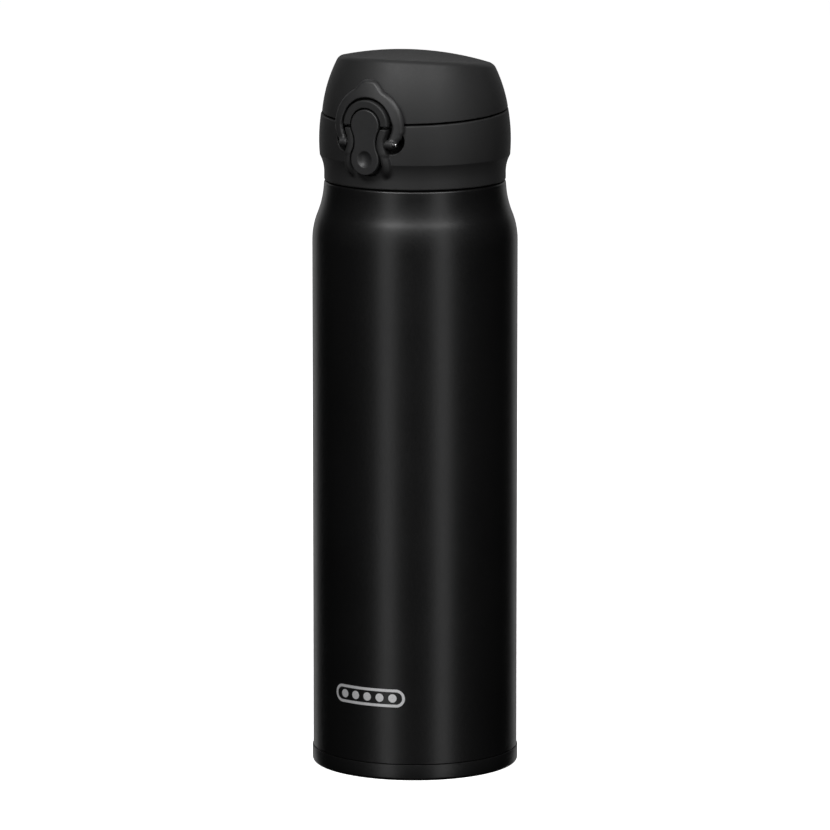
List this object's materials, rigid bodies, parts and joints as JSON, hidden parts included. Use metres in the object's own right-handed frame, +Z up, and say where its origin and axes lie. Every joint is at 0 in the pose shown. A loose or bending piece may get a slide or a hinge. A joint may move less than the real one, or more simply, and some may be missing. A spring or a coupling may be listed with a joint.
{
  "type": "vacuum flask",
  "caption": "Slim double-walled steel vacuum flask with a screw-on cap, flip-up lid on a rear hinge, keyhole rocker latch and swinging lock ring.",
  "frame": {"origin": "on the bottle's axis, at the plane it stands on", "axes": "+Z up along the bottle's axis, -Y towards the latch button at the front, +Y towards the lid's hinge, +X to the user's right when the latch faces the viewer"},
  "size_m": [0.0706, 0.0706, 0.2465],
  "materials": {
    "body_paint": "satin black powder coat with a very fine metallic grain",
    "bare_steel": "electropolished stainless steel",
    "copper_foil": "thin copper-coloured foil",
    "braze": "solidified glass solder",
    "getter_metal": "sintered metal pill",
    "label": "blank silver-grey sticker",
    "cover_plastic": "finely textured matte black moulding",
    "inner_plastic": "smooth satin dark moulding",
    "silicone": "translucent grey-white silicone",
    "pin_steel": "ground stainless pins",
    "spring_steel": "drawn spring wire",
    "latch_plastic": "satin black moulding"
  },
  "bodies": {
    "bottle": {"outer_shell": "body_paint", "inner_neck": "bare_steel", "inner_wall": "bare_steel", "inner_floor": "bare_steel", "heat_foil": "copper_foil", "end_plate": "bare_steel", "seal_bead": "braze", "getter": "getter_metal", "base_cover": "body_paint", "base_label": "label"},
    "seal": {"stopper_gasket": "silicone"},
    "cap": {"cap_collar": "cover_plastic", "stopper_core": "inner_plastic", "spout": "inner_plastic", "spout_gasket": "silicone", "button_pin": "pin_steel", "button_spring": "spring_steel", "ring_pin_left": "pin_steel", "ring_pin_right": "pin_steel", "hinge_pin": "pin_steel", "hinge_spring": "spring_steel"},
    "lid": {"lid_shell": "cover_plastic", "lid_liner": "inner_plastic", "lid_gasket": "silicone"},
    "button": {"latch_button": "latch_plastic"},
    "ring": {"lock_ring": "latch_plastic"}
  },
  "joints": [
    {"name": "cap_lift", "type": "slide", "parent": "bottle", "child": "seal", "axis": [0, 0, 1], "range_m": [0, 0.00501]},
    {"name": "cap_turn", "type": "hinge", "parent": "seal", "child": "cap", "pos_m": [0, 0, 0.2], "axis": [0, 0, 1], "range_deg": [0, 450]},
    {"name": "lid_hinge", "type": "hinge", "parent": "cap", "child": "lid", "pos_m": [0, 0.0335, 0.222], "axis": [-1, 0, 0], "range_deg": [0, 160], "deforming": ["hinge_spring"]},
    {"name": "button_rock", "type": "hinge", "parent": "cap", "child": "button", "pos_m": [0, -0.0314, 0.2163], "axis": [1, 0, 0], "range_deg": [0, 7], "stiffness_Nm_per_rad": 0.06, "deforming": ["button_spring"]},
    {"name": "ring_swing", "type": "hinge", "parent": "cap", "child": "ring", "pos_m": [0, -0.0323, 0.2176], "axis": [1, 0, 0], "range_deg": [0, 100]}
  ],
  "couplings": [
    {"joint": "cap_lift", "follows": "cap_turn", "m_per_rad": 0.00063662}
  ]
}
